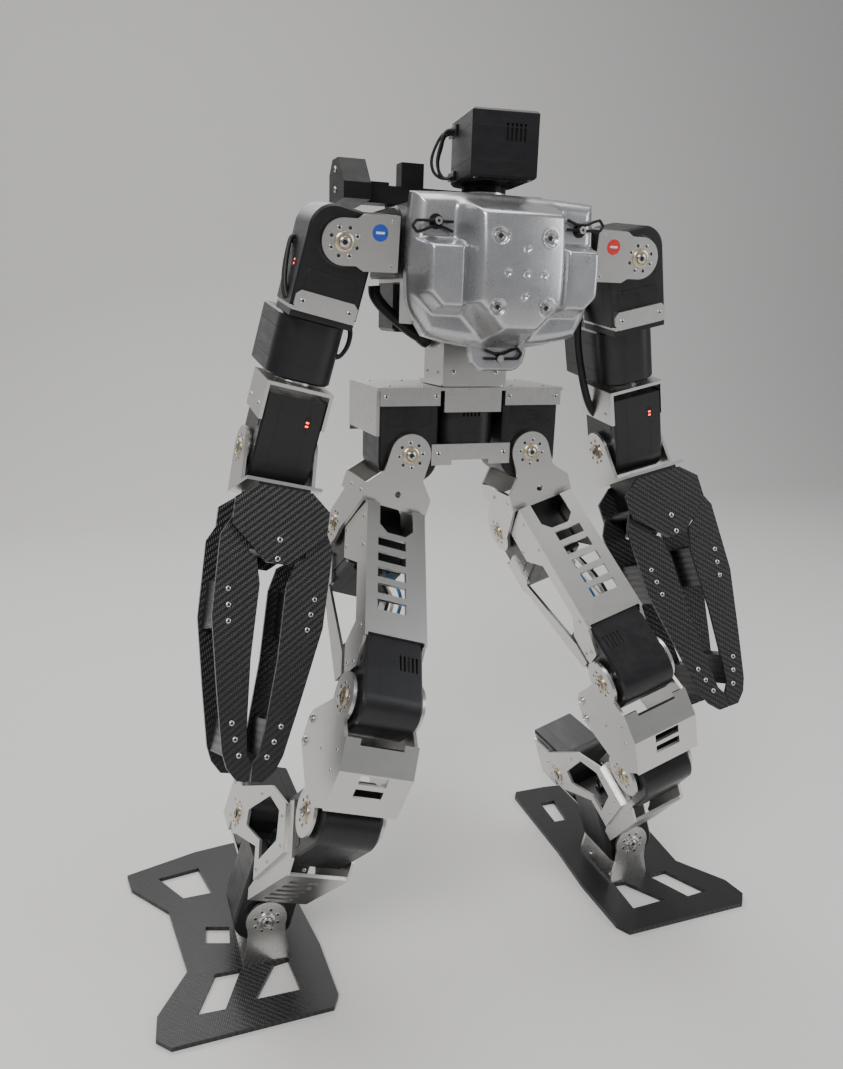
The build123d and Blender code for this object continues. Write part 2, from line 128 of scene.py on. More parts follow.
def noise(nt, coord, scale, detail=4.0, rough=0.55, stretch=None):
    n = node(nt, "ShaderNodeTexNoise")
    n.inputs["Scale"].default_value = scale
    n.inputs["Detail"].default_value = detail
    n.inputs["Roughness"].default_value = rough
    if stretch:
        mp = node(nt, "ShaderNodeMapping")
        mp.inputs["Scale"].default_value = stretch
        nt.links.new(coord, mp.inputs["Vector"])
        coord = mp.outputs["Vector"]
    nt.links.new(coord, n.inputs["Vector"])
    return n.outputs["Fac"]


def ramp(nt, fac, stops):
    r = node(nt, "ShaderNodeValToRGB")
    els = r.color_ramp.elements
    while len(els) < len(stops):
        els.new(0.5)
    for e, (p, c) in zip(els, stops):
        e.position = p
        e.color = (*c, 1.0) if isinstance(c, tuple) else (c, c, c, 1.0)
    nt.links.new(fac, r.inputs["Fac"])
    return r.outputs["Color"]


def bump(nt, height, strength, dist, prev=None):
    b = node(nt, "ShaderNodeBump")
    b.inputs["Strength"].default_value = strength
    b.inputs["Distance"].default_value = dist
    nt.links.new(height, b.inputs["Height"])
    if prev:
        nt.links.new(prev, b.inputs["Normal"])
    return b.outputs["Normal"]


def mix(nt, fac, a, b, mode="MIX"):
    m = node(nt, "ShaderNodeMix", data_type="RGBA", blend_type=mode)
    if isinstance(fac, float):
        m.inputs[0].default_value = fac
    else:
        nt.links.new(fac, m.inputs[0])
    for s, v in ((6, a), (7, b)):
        if isinstance(v, tuple):
            m.inputs[s].default_value = (*v, 1.0)
        else:
            nt.links.new(v, m.inputs[s])
    return m.outputs[2]


def math_node(nt, op, a, b=None):
    m = node(nt, "ShaderNodeMath", operation=op)
    for i, v in enumerate((a, b)):
        if v is None:
            continue
        if isinstance(v, (int, float)):
            m.inputs[i].default_value = v
        else:
            nt.links.new(v, m.inputs[i])
    return m.outputs[0]


def coords(nt):
    return node(nt, "ShaderNodeTexCoord").outputs["Object"]


def plastic(name, base, rough, grain=0.15, spec=0.5, worn=0.02):
    """Moulded plastic: fine spark-eroded grain, uneven sheen, faint scuffs and dust."""
    m, nt, b = new_mat(name)
    co = coords(nt)
    big = noise(nt, co, 28, 3)
    fine = noise(nt, co, 2600, 2, 0.6)
    scuff = noise(nt, co, 120, 8, 0.75, (1.0, 0.35, 2.2))
    col = ramp(nt, big, [(0.3, tuple(c * 0.82 for c in base)), (0.7, tuple(c * 1.25 for c in base))])
    marks = ramp(nt, scuff, [(0.60, 0.0), (0.78, 1.0)])
    col = mix(nt, math_node(nt, "MULTIPLY", marks, 0.35), col, tuple(min(1, c * 2.2 + worn) for c in base))
    nt.links.new(col, b.inputs["Base Color"])
    r = ramp(nt, scuff, [(0.25, rough - 0.07), (0.75, rough + 0.13)])
    nt.links.new(r, b.inputs["Roughness"])
    b.inputs["Specular IOR Level"].default_value = spec
    n1 = bump(nt, fine, grain, 0.0002)
    nt.links.new(bump(nt, big, 0.05, 0.001, n1), b.inputs["Normal"])
    return m


def sheet_metal(name, base, rough, stretch, brushed=0.5, tint=(0.80, 0.78, 0.73)):
    """Satin nickel-plated sheet: rolled grain, handling marks, slightly warm patches."""
    m, nt, b = new_mat(name)
    co = coords(nt)
    b.inputs["Metallic"].default_value = 1.0
    grain = noise(nt, co, 420, 6, 0.7, stretch)
    cloud = noise(nt, co, 22, 5, 0.6)
    marks = noise(nt, co, 160, 10, 0.8, (1.0, 2.6, 0.7))
    col = ramp(nt, cloud, [(0.3, tuple(c * 0.93 for c in base)), (0.72, base)])
    col = mix(nt, math_node(nt, "MULTIPLY", ramp(nt, cloud, [(0.48, 0.0), (0.7, 1.0)]), 0.35), col, tint)
    col = mix(nt, math_node(nt, "MULTIPLY", ramp(nt, marks, [(0.62, 0.0), (0.8, 1.0)]), 0.4), col,
              tuple(c * 0.72 for c in base))
    nt.links.new(col, b.inputs["Base Color"])
    mixr = math_node(nt, "ADD", math_node(nt, "MULTIPLY", grain, 0.16), math_node(nt, "MULTIPLY", marks, 0.14))
    nt.links.new(math_node(nt, "ADD", mixr, rough - 0.14), b.inputs["Roughness"])
    n1 = bump(nt, grain, 0.12 * brushed, 0.0004)
    nt.links.new(bump(nt, cloud, 0.05, 0.003, n1), b.inputs["Normal"])
    return m


def paint_silver():
    """Silver paint on pressed sheet: metal flake, slight orange peel, clear coat."""
    m, nt, b = new_mat("silver_paint")
    co = coords(nt)
    b.inputs["Metallic"].default_value = 0.86
    flake = node(nt, "ShaderNodeTexVoronoi")
    flake.inputs["Scale"].default_value = 2400
    nt.links.new(co, flake.inputs["Vector"])
    cloud = noise(nt, co, 16, 4)
    spark = ramp(nt, flake.outputs["Color"], [(0.0, (0.40, 0.405, 0.42)), (1.0, (0.60, 0.605, 0.62))])
    col = mix(nt, math_node(nt, "MULTIPLY", cloud, 0.5), spark, (0.50, 0.505, 0.52))
    rub = noise(nt, co, 70, 9, 0.8)
    col = mix(nt, math_node(nt, "MULTIPLY", ramp(nt, rub, [(0.66, 0.0), (0.86, 1.0)]), 0.07), col, (0.40, 0.40, 0.41))
    nt.links.new(col, b.inputs["Base Color"])
    nt.links.new(ramp(nt, rub, [(0.3, 0.24), (0.8, 0.40)]), b.inputs["Roughness"])
    b.inputs["Coat Weight"].default_value = 0.55
    b.inputs["Coat Roughness"].default_value = 0.14
    n1 = bump(nt, flake.outputs["Distance"], 0.03, 0.0002)
    nt.links.new(bump(nt, noise(nt, co, 200, 2), 0.05, 0.0006, n1), b.inputs["Normal"])
    return m


def carbon(name, u_dir, v_dir, tow=1.05):
    """2 by 2 twill carbon weave in the plane of u_dir and v_dir, under clear resin, with painted sheen on the tows and
    painted shade in the grooves between them.
    """
    m, nt, b = new_mat(name)
    co = coords(nt)

    def along(d):
        n = node(nt, "ShaderNodeVectorMath", operation="DOT_PRODUCT")
        n.inputs[1].default_value = tuple(Vector(d).normalized())
        nt.links.new(co, n.inputs[0])
        return math_node(nt, "MULTIPLY", n.outputs["Value"], 1000.0 / tow)

    u, v = along(u_dir), along(v_dir)
    fu, fv = math_node(nt, "FLOOR", u), math_node(nt, "FLOOR", v)
    step = math_node(nt, "ADD", fu, fv)
    q = math_node(nt, "MODULO", math_node(nt, "ADD", step, 4000.0), 4.0)
    over = math_node(nt, "LESS_THAN", q, 1.5)
    cu = math_node(nt, "FRACT", u)
    cv = math_node(nt, "FRACT", v)

    def crown(t):
        return math_node(nt, "SINE", math_node(nt, "MULTIPLY", t, math.pi))

    warp, weft = crown(cu), crown(cv)
    height = mix(nt, over, weft, warp)
    fibre_u = noise(nt, co, 900, 2, 0.6)
    # the twill pattern shown as painted sheen: tows running one way are painted lighter than tows running the other
    # way
    base = mix(nt, over, (0.0055, 0.0055, 0.006), (0.021, 0.0215, 0.0235))
    base = mix(nt, math_node(nt, "MULTIPLY", fibre_u, 0.5), base, (0.010, 0.010, 0.0105))
    # painted shade: colour darkens to a quarter in the grooves between tows
    edge = ramp(nt, height, [(0.0, 0.25), (0.45, 1.0)])
    base = mix(nt, 1.0, base, edge, "MULTIPLY")
    nt.links.new(base, b.inputs["Base Color"])
    nt.links.new(ramp(nt, height, [(0.0, 0.52), (1.0, 0.30)]), b.inputs["Roughness"])
    b.inputs["Metallic"].default_value = 0.25
    b.inputs["Coat Weight"].default_value = 0.35
    b.inputs["Coat Roughness"].default_value = 0.28
    nt.links.new(bump(nt, height, 0.6, 0.0003), b.inputs["Normal"])
    return m


def plain(name, base, rough, metal=0.0, scale=900, strength=0.1):
    """Small fittings: colour that drifts a little and a fine surface."""
    m, nt, b = new_mat(name)
    co = coords(nt)
    n = noise(nt, co, scale, 4)
    col = ramp(nt, n, [(0.25, tuple(c * 0.78 for c in base)), (0.75, tuple(min(1, c * 1.15) for c in base))])
    nt.links.new(col, b.inputs["Base Color"])
    nt.links.new(ramp(nt, n, [(0.2, max(rough - 0.08, 0.03)), (0.8, rough + 0.1)]), b.inputs["Roughness"])
    b.inputs["Metallic"].default_value = metal
    nt.links.new(bump(nt, n, strength, 0.0002), b.inputs["Normal"])
    return m


def led():
    m, nt, b = new_mat("led_red")
    co = coords(nt)
    n = noise(nt, co, 1500, 2)
    nt.links.new(ramp(nt, n, [(0.3, (0.5, 0.01, 0.01)), (0.7, (0.9, 0.03, 0.02))]), b.inputs["Base Color"])
    b.inputs["Roughness"].default_value = 0.25
    b.inputs["Emission Color"].default_value = (1.0, 0.05, 0.03, 1)
    b.inputs["Emission Strength"].default_value = 5.0
    return m


def vec(m, d):
    return tuple(m.to_3x3() @ Vector(d))


def mir(d):
    return (-d[0], d[1], d[2])


BLACK = plastic("black_plastic", (0.0075, 0.0077, 0.009), 0.31)
BLACK2 = plastic("black_plastic_gloss", (0.008, 0.008, 0.009), 0.28, grain=0.05)
BMETAL = plastic("black_metal", (0.0075, 0.0075, 0.008), 0.42, grain=0.08, spec=0.3)
SILVER = sheet_metal("silver_sheet", (0.66, 0.655, 0.635), 0.30, (1.0, 1.0, 9.0), tint=(0.62, 0.595, 0.55))
SILVER_H = sheet_metal("silver_sheet_cross", (0.68, 0.675, 0.655), 0.28, (9.0, 1.0, 1.0), 0.6, tint=(0.64, 0.61, 0.56))
PAINT = paint_silver()
STEEL = plain("screw_steel", (0.62, 0.61, 0.59), 0.24, 1.0)
BRASS = plain("horn_bronze", (0.66, 0.56, 0.40), 0.30, 1.0)
HORN = plain("horn_nickel", (0.72, 0.71, 0.69), 0.26, 1.0)
# near black: painted shade in screw sockets, plug openings and vent slots, and the colour of one unlit element of the
# status light
BLACK_AND_PAINTED_SHADE = plain("black_and_painted_shade", (0.006, 0.006, 0.006), 0.7)
SEAM = plain("case_seam", (0.0035, 0.0035, 0.004), 0.6)
RUBBER = plain("cable_black", (0.010, 0.010, 0.011), 0.5, 0.0, 400, 0.2)
WIRE_B = plain("wire_blue", (0.05, 0.20, 0.45), 0.4)
WIRE_W = plain("wire_white", (0.62, 0.62, 0.60), 0.45)
BLUE = plain("label_blue", (0.02, 0.07, 0.42), 0.35)
RED = plain("label_red", (0.62, 0.03, 0.03), 0.35)
WHITE = plain("label_white", (0.75, 0.75, 0.73), 0.4)
LED = led()
CARB_FOOT = carbon("carbon_foot", (1, 0.0, 0), (0, 1, 0))
CARB_L = carbon("carbon_hand_left", vec(hand, (1, 0, 0)), vec(hand, (0, 0, 1)))
CARB_R = carbon("carbon_hand_right", mir(vec(hand, (1, 0, 0))), mir(vec(hand, (0, 0, 1))))


class Piece:
    """Gathers faces in local millimetres."""

    def __init__(self):
        self.v, self.f, self.m, self.s = [], [], [], []

    def add(self, verts, faces, mat=0, smooth=False, place=I4):
        k = len(self.v)
        self.v += [tuple(place @ Vector(p)) for p in verts]
        self.f += [tuple(k + i for i in f) for f in faces]
        self.m += [mat] * len(faces)
        self.s += [smooth] * len(faces)

    def box(self, x0, x1, y0, y1, z0, z1, mat=0, place=I4, r=0.0):
        """Box with chamfered edges of size r."""
        if r <= 0:
            vs = [(x, y, z) for x in (x0, x1) for y in (y0, y1) for z in (z0, z1)]
            fs = [(0, 1, 3, 2), (4, 6, 7, 5), (0, 4, 5, 1), (2, 3, 7, 6), (0, 2, 6, 4), (1, 5, 7, 3)]
            self.add(vs, fs, mat, False, place)
            return
        c = Vector(((x0 + x1) / 2, (y0 + y1) / 2, (z0 + z1) / 2))
        h = Vector(((x1 - x0) / 2, (y1 - y0) / 2, (z1 - z0) / 2))
        vs, idx = [], {}
        for sx in (-1, 1):
            for sy in (-1, 1):
                for sz in (-1, 1):
                    s = (sx, sy, sz)
                    for a in range(3):
                        p = [c[i] + s[i] * (h[i] - (0 if i == a else r)) for i in range(3)]
                        idx[(s, a)] = len(vs)
                        vs.append(tuple(p))
        fs = []
        for a in range(3):
            b_, c_ = [(1, 2), (2, 0), (0, 1)][a]
            for sa in (-1, 1):
                q = []
                for sb, sc in ((-1, -1), (1, -1), (1, 1), (-1, 1)):
                    s = [0, 0, 0]
                    s[a], s[b_], s[c_] = sa, sb, sc
                    q.append(idx[(tuple(s), a)])
                fs.append(tuple(q if sa > 0 else q[::-1]))
        for a in range(3):
            b_, c_ = [(1, 2), (2, 0), (0, 1)][a]
            for sb in (-1, 1):
                for sc in (-1, 1):
                    lo, hi = [0, 0, 0], [0, 0, 0]
                    lo[a], hi[a] = -1, 1
                    lo[b_] = hi[b_] = sb
                    lo[c_] = hi[c_] = sc
                    q = [idx[(tuple(lo), b_)], idx[(tuple(hi), b_)], idx[(tuple(hi), c_)], idx[(tuple(lo), c_)]]
                    fs.append(tuple(q if sb * sc < 0 else q[::-1]))
        for sx in (-1, 1):
            for sy in (-1, 1):
                for sz in (-1, 1):
                    s = (sx, sy, sz)
                    q = [idx[(s, 0)], idx[(s, 1)], idx[(s, 2)]]
                    fs.append(tuple(q if sx * sy * sz > 0 else q[::-1]))
        self.add(vs, fs, mat, False, place)

    def lathe(self, profile, place, mat=0, n=24, smooth=True, closed=False):
        """Turns (radius, height) points about local Z. Profiles run from the foot outside up and in."""
        vs, fs = [], []
        for r, h in profile:
            for i in range(n):
                a = 2 * math.pi * i / n
                vs.append((r * math.cos(a), r * math.sin(a), h))
        m = len(profile)
        for k in range(m - 1 + (1 if closed else 0)):
            k2 = (k + 1) % m
            for i in range(n):
                j = (i + 1) % n
                fs.append((k * n + i, k * n + j, k2 * n + j, k2 * n + i))
        if not closed:
            fs.append(tuple(range((m - 1) * n, m * n)))
            fs.append(tuple(range(n))[::-1])
        self.add(vs, fs, mat, smooth, place)

    def prism(self, outline, z0, z1, place=I4, mat=0, chamfer=0.0):
        """Outline (x, y) raised along local Z, its top edge chamfered."""
        n = len(outline)
        cx = sum(p[0] for p in outline) / n
        cy = sum(p[1] for p in outline) / n
        rings = [[(x, y, z0) for x, y in outline], [(x, y, z1 - chamfer) for x, y in outline]]
        if chamfer:
            rings.append([(x + (cx - x) / max(math.hypot(x - cx, y - cy), 1e-6) * chamfer,
                           y + (cy - y) / max(math.hypot(x - cx, y - cy), 1e-6) * chamfer, z1) for x, y in outline])
        vs = [p for r in rings for p in r]
        fs = []
        for k in range(len(rings) - 1):
            for i in range(n):
                j = (i + 1) % n
                fs.append((k * n + i, k * n + j, (k + 1) * n + j, (k + 1) * n + i))
        fs.append(tuple(range((len(rings) - 1) * n, len(rings) * n)))
        fs.append(tuple(range(n))[::-1])
        self.add(vs, fs, mat, False, place)

    def tube(self, pts, r, mat=0, n=10, place=I4, steps=8):
        """Round cable through the points, on a Catmull-Rom curve."""
        P = [Vector(p) for p in pts]
        P = [P[0] * 2 - P[1], *P, P[-1] * 2 - P[-2]]
        line = []
        for i in range(1, len(P) - 2):
            for k in range(steps):
                t = k / steps
                a, b, c, d = P[i - 1], P[i], P[i + 1], P[i + 2]
                line.append(0.5 * ((2 * b) + (c - a) * t + (2 * a - 5 * b + 4 * c - d) * t * t
                                   + (3 * b - a - 3 * c + d) * t ** 3))
        line.append(P[-2])
        vs, fs = [], []
        up = Vector((0.3, 0.2, 0.93))
        for i, p in enumerate(line):
            d = (line[min(i + 1, len(line) - 1)] - line[max(i - 1, 0)]).normalized()
            s = d.cross(up)
            s = s.normalized() if s.length > 1e-4 else d.orthogonal().normalized()
            up = s.cross(d).normalized()
            for k in range(n):
                a = 2 * math.pi * k / n
                vs.append(tuple(p + s * (r * math.cos(a)) + up * (r * math.sin(a))))
        m = len(line)
        for i in range(m - 1):
            for k in range(n):
                j = (k + 1) % n
                fs.append((i * n + k, i * n + j, (i + 1) * n + j, (i + 1) * n + k))
        fs.append(tuple(range(n))[::-1])
        fs.append(tuple(range((m - 1) * n, m * n)))
        self.add(vs, fs, mat, True, place)

    def emit(self, name, body, M, mirror, mats, replaces=None, bevel=0.0):
        S = Matrix.Scale(-1, 4, (1, 0, 0)) if mirror else I4
        full = Matrix.Translation((0, MID_Y, 0)) @ S @ M
        vs = [tuple((full @ Vector(p)) / 1000.0) for p in self.v]
        fs = [f[::-1] for f in self.f] if mirror else self.f
        me = bpy.data.meshes.new(name)
        me.from_pydata(vs, [], fs)
        for mt in mats:
            me.materials.append(mt)
        me.polygons.foreach_set("material_index", self.m)
        me.polygons.foreach_set("use_smooth", self.s)
        me.validate()
        me.update()
        o = bpy.data.objects.new(name, me)
        bpy.context.scene.collection.objects.link(o)
        if any(self.s):
            try:
                me.set_sharp_from_angle(angle=math.radians(38))
            except AttributeError:
                pass
        if bevel:
            b = o.modifiers.new("edge", "BEVEL")
            b.width = bevel / 1000.0
            b.segments = 2
            b.limit_method = "ANGLE"
            b.angle_limit = math.radians(40)
        if body:
            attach(o, body)
        if replaces:
            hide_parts(*replaces)
        return o


def screw(P, o, n, r=1.45, h=0.75, mat=0, socket_shade=1, hexed=True):
    """Button-head screw; its hexagon socket is a flat black hexagon of painted shade on the crown."""
    F = at(o, n)
    P.lathe([(r, -0.05), (r, h * 0.30), (r * 0.92, h * 0.62), (r * 0.72, h * 0.9), (r * 0.50, h)], F, mat, 20)
    # the socket: a flat black hexagon of painted shade
    F2 = F @ loc((0, 0, h + 0.015))
    P.lathe([(r * 0.46, -0.02), (r * 0.46, 0.0), (r * 0.44, 0.01)], F2, socket_shade, 6, smooth=False)


def horn_face(P, o, n, brass=2, r=7.6):
    """What shows of a servo horn on its bracket: eight screws in a ring round a turned boss; their sockets are flat
    black discs of painted shade.
    """
    F = at(o, n)
    P.lathe([(5.3, -0.05), (5.3, 0.75), (4.9, 1.15), (3.9, 1.3), (3.7, 1.0), (3.1, 1.0)], F, brass, 36)
    P.lathe([(2.9, 0.9), (2.9, 1.55), (2.5, 1.95), (1.6, 2.1), (1.5, 1.5)], F, 0, 28)
    # the boss's socket: a flat black hexagon of painted shade
    P.lathe([(1.45, 1.50), (1.45, 1.53), (1.4, 1.54)], F, 1, 6, smooth=False)
    for i in range(8):
        a = math.pi / 8 + i * math.pi / 4
        G = F @ loc((r * math.cos(a), r * math.sin(a), 0))
        # each screw's socket is a flat black disc of painted shade
        if i % 2:
            P.lathe([(1.35, -0.05), (1.35, 0.2), (1.15, 0.34), (0.75, 0.34)], G, 0, 16)
            P.lathe([(0.72, 0.30), (0.72, 0.36)], G, 1, 6, smooth=False)
        else:
            P.lathe([(1.25, -0.02), (1.25, 0.10), (0.95, 0.14)], G, 0, 16)
            P.lathe([(0.92, 0.10), (0.92, 0.155)], G, 1, 16, smooth=False)


def horn_disc(P, o, n, mat=3, gap=2.0, r=10.6):
    """The horn itself, in the gap between case and bracket; o is on the case side."""
    F = at(o, n)
    P.lathe([(3.3, 0.12), (6.5, 0.12), (6.5, 0.55), (r, 0.55), (r, gap - 0.12), (3.3, gap - 0.12)], F, mat, 40,
            closed=True)


# index 1 is painted shade, used for the screw sockets
MATS = [STEEL, BLACK_AND_PAINTED_SHADE, BRASS, HORN]


def both_sides(fn):
    for side, m in (("left", False), ("right", True)):
        fn(side, m)


# ------------------------------------------------------------------ servo case details
def outline(inset=0.0, n=8):
    """The servo's side outline (x, z) with its round and small corners."""
    x1, z0, z1 = H / 2 - inset, -R_END + inset, L - R_END - inset
    out = []
    for cx, cz, r, a0 in ((x1, z0, 14 - inset, 270), (x1, z1, max(3 - inset, 0.8), 0), (-x1, z1, max(3 - inset, 0.8), 90),
                          (-x1, z0, 14 - inset, 180)):
        sx, sz = (1 if cx > 0 else -1), (1 if cz > 0 else -1)
        c = (cx - sx * r, cz - sz * r)
        for k in range(n + 1):
            a = math.radians(a0 + 90 * k / n)
            out.append((c[0] + r * math.cos(a), c[1] + r * math.sin(a)))
    return out


def servo_details(name, body, M, mirror, led_at=None, faces=(-1, 1), plug=False):
    """Case seams, raised caps, case screws and the status light of one servo. M is its frame."""
    P = Piece()
    # two hairline seams round the case
    ring = outline(-0.04)
    for y in (-8.6, 8.6):
        n = len(ring)
        vs = [(x, y + d, z) for d in (-0.16, 0.16) for x, z in ring]
        vs += [(x * 0.985, y + d, z * 0.985 + 0.1) for d in (-0.16, 0.16) for x, z in ring]
        fs = [(i, (i + 1) % n, n + (i + 1) % n, n + i) for i in range(n)]
        fs += [(2 * n + i, 3 * n + i, 3 * n + (i + 1) % n, 2 * n + (i + 1) % n) for i in range(n)]
        P.add(vs, fs, 4)
    for s in faces:
        F = at((0, s * W / 2, 0), (0, s, 0), (0, 0, 1))
        P.lathe([(13.4, -0.05), (13.4, 0.22), (13.0, 0.38), (11.6, 0.38), (11.3, 0.1), (3.3, 0.1)], F, 5, 44)
        for x in (-15.4, 15.4):
            for z in (34.6,):
                screw(P, (x, s * W / 2, z), (0, s, 0), 1.35, 0.4)
        r = 1.2
        z0, z1, x1 = 17.5, 31.5, 14.0
        pts = [(-x1, z0 + r), (-x1 + r, z0), (x1 - r, z0), (x1, z0 + r), (x1, z1 - r), (x1 - r, z1), (-x1 + r, z1), (-x1, z1 - r)]
        G = axes((0, s * W / 2, 0), (s * -1, 0, 0), (0, s, 0))
        P.prism([(x, z) for x, z in pts][::1] if s < 0 else [(x, z) for x, z in pts], -0.05, 0.35, G, 5, 0.25)
    if led_at:
        o, n = led_at
        F = at(o, n)
        for k, (dx, dy) in enumerate(((0, 0), (0, 2.2), (0, -2.2))):
            P.box(dx - 0.9, dx + 0.9, dy - 0.55, dy + 0.55, -0.2, 0.12, 6 if k != 1 else 1, F, r=0.1)
        P.box(-1.9, 1.9, -3.6, 3.6, -0.3, 0.03, 4, F)
    if plug:
        P.box(-6, 6, -5, 5, L - R_END - 0.2, L - R_END + 2.2, 5, I4, r=0.5)
        # the four contact openings are flat black tiles of painted shade
        for k in range(4):
            P.box(-4.6 + k * 2.4, -3.2 + k * 2.4, -3.2, 3.2, L - R_END + 2.0, L - R_END + 2.3, 1)
    P.emit(name, body, M, mirror, [STEEL, BLACK_AND_PAINTED_SHADE, BRASS, HORN, SEAM, BLACK2, LED])


up_servo = axes((0, 0, 0), (1, 0, 0), (0, 0, 1))
SERVOS = [
    ("waist_servo_details", "pelvis", axes((0, 0, T - W / 2), (1, 0, 0), (0, 1, 0)), (1,)),
    ("hip_servo_left_details", "pelvis", loc((HIP_X, 0, HIP_Z)), (-1, 1)),
    ("hip_servo_right_details", "pelvis", loc((-HIP_X, 0, HIP_Z)), (-1, 1)),
    ("head_details", "head", head @ axes((0, 0, HZ + W / 2), (1, 0, 0), (0, -1, 0)), (-1, 1)),
]
for n_, b_, M_, f_ in SERVOS:
    servo_details(n_, b_, M_, False, faces=f_)


def limb_servos(side, m):
    n = lambda s: f"{side}_{s}"
    servo_details(n("shoulder_servo_details"), n("upper_arm"), arm1 @ loc((0, 0, 0), (0, 180, 0)), m,
                  ((-H / 2, -4.0, 18.0), (-1, 0, 0)) if side == "right" else None)
    servo_details(n("arm_servo_details"), n("upper_arm"), arm1 @ axes((0, ARM_Y, -44 - W / 2), (-1, 0, 0), (0, 1, 0)), m,
                  None, (-1,), plug=True)
    servo_details(n("elbow_servo_details"), n("forearm"), arm1 @ axes((0, ARM_Y, -ELB_D), (0, -1, 0), (0, 0, 1)), m,
                  ((H / 2, -8.5 if side == "right" else 8.5, 26), (1, 0, 0)))
    servo_details(n("hip_pitch_servo_details"), n("thigh"), thigh @ axes((0, hu, -hv), (0, 1, 0), (0, 0, -1)), m)
    servo_details(n("knee_servo_details"), n("thigh"), thigh @ axes((0, ku, -kv), (0, -1, 0), (0, 0, 1)), m)
    servo_details(n("shin_servo_details"), n("shin"), shin @ axes((0, 0, 0), (0, 1, 0), (0, 0, -1)), m)
    servo_details(n("ankle_pitch_details"), n("ankle"), leg @ axes((0, ANK[0], -ANK[1]), (0, 0, 1), (0, 1, 0)), m, plug=True)
    servo_details(n("ankle_roll_details"), n("ankle"), leg @ loc((0, ROLL_Y, -ROLL_D)), m)


both_sides(limb_servos)


# ------------------------------------------------------------------ screws and horns
def limb_hardware(side, m):
    n = lambda s: f"{side}_{s}"
    hn = lambda P, x, y, z: (horn_face(P, (x, y, z), (1 if x > 0 else -1, 0, 0)),
                             horn_disc(P, ((W / 2 + 0.05) * (1 if x > 0 else -1), y, z), (1 if x > 0 else -1, 0, 0), gap=2.15))
    # shoulder
    P = Piece()
    for s in (-1, 1):
        horn_face(P, (0, s * P1, 0), (0, s, 0))
        horn_disc(P, (0, s * (W / 2 + 0.05), 0), (0, s, 0), gap=2.15)
    XI = PITCH_X + P0 - SHO[0]
    for y in (-16, 16):
        for z in (-9, 9):
            screw(P, (XI + 2, y, z), (1, 0, 0), 1.3, 0.6)
    for z in (-11.5, 11.5):
        screw(P, (XI + 4, -P1, z), (0, -1, 0), 0.9, 0.3)
    P.emit(n("shoulder_hardware"), n("shoulder"), arm0, m, MATS)
    # sticker: plain round patch with a bar, blue on the right and red on the left
    P = Piece()
    F = axes((-19.5, -P1, 5.5), (1, 0, 0), (0, -1, 0))
    P.lathe([(4.4, -0.02), (4.4, 0.10), (4.3, 0.13)], F, 0, 40, smooth=False)
    P.box(-2.4, 2.4, -0.6, 0.6, 0.1, 0.17, 1, F)
    P.emit(n("shoulder_sticker"), n("shoulder"), arm0, m, [RED if side == "left" else BLUE, WHITE])
    # upper arm
    P = Piece()
    for x in (-13.2, 13.2):
        screw(P, (x, -19.5, -35), (0, -1, 0), 1.6, 0.8)
        screw(P, (x, 19.5, -33), (0, 1, 0), 1.6, 0.8)
    P.emit(n("strap_screws"), n("upper_arm"), arm1, m, MATS)
    # forearm top bracket and its turning horn
    P = Piece()
    EB = -44 - W - 2.3
    horn_disc(P, (0, ARM_Y, -44 - W - 0.05), (0, 0, -1), gap=2.15, r=11.5)
    for sx in (-1, 1):
        for y in (-14, 14):
            screw(P, (sx * 19.5, ARM_Y + y * 0.85, EB - 15), (sx, 0, 0), 1.4, 0.7)
    for x in (-13, 13):
        for y in (-10, 12):
            screw(P, (x, ARM_Y + y, EB), (0, 0, 1), 1.2, 0.35)
    P.emit(n("elbow_bracket_hardware"), n("forearm"), arm1, m, MATS)
    # hand
    P = Piece()
    hn(P, P1, 0, 0)
    hn(P, -P1, 0, 0)
    for z in (-54.8, -65.5):
        screw(P, (0, -31, z), (0, -1, 0), 1.7, 0.8)
        screw(P, (0, 11, z), (0, 1, 0), 1.7, 0.8)
    for x in (-12, 12):
        for y in (-20, 2):
            screw(P, (x, y, -22), (0, 0, 1), 1.3, 0.4)
    P.emit(n("hand_hardware"), n("hand"), hand, m, MATS)
    spots = [(24.3, 84.7), (23.1, 93.2), (22.0, 101.8), (13.4, 154.6), (10.6, 162.8), (7.6, 170.9)]
    for tag, sg in (("outer", 1), ("inner", -1)):
        P = Piece()
        for x, d in spots:
            screw(P, (sg * x, -28.7, -d), (0, -1, 0), 1.55, 0.8)
            screw(P, (sg * x, 8.7, -d), (0, 1, 0), 1.55, 0.8)
        P.emit(n(f"{tag}_finger_screws"), n(f"{tag}_finger"), hand, m, MATS)
    # hip bracket
    P = Piece()
    for s in (-1, 1):
        horn_face(P, (0, s * P1, 0), (0, s, 0))
        horn_disc(P, (0, s * (W / 2 + 0.05), 0), (0, s, 0), gap=2.15)
        hn(P, s * P1, HIP_P[0], -HIP_P[1])
        for y, z in ((-16, -29), (4, -29)):
            screw(P, (s * P1, y, z), (s, 0, 0), 1.3, 0.6)
    P.emit(n("hip_hardware"), n("hip"), leg, m, MATS)
    # thigh
    P = Piece()
    for s in (-1, 1):
        for u, v in ((-15, 86), (2, 102), (-6, 104), (9, 10), (9, 22), (-16, 14), (-16, 34)):
            screw(P, (s * 19.3, u, -v), (s, 0, 0), 1.3, 0.5)
    P.emit(n("thigh_screws"), n("thigh"), thigh, m, MATS)
    P = Piece()
    for k, (x, u) in enumerate(((-9, -3), (-5, 1), (-1, -2), (4, 2), (8, -4), (12, 0))):
        v0, v1 = 37, 83
        P.tube([(x, 12 + 0.5 * u, -v0 + 4), (x + 1.5 * math.sin(k), u + 2, -v0 - 8), (x - 1.2, u - 3 - k % 2, -(v0 + v1) / 2),
                (x + 1, u + 1, -v1 + 9), (x * 0.8, u + 6, -v1 - 2)], 1.05, k % 3, 8)
    P.emit(n("thigh_wires"), n("thigh"), thigh, m, [WIRE_B, WIRE_W, RUBBER])
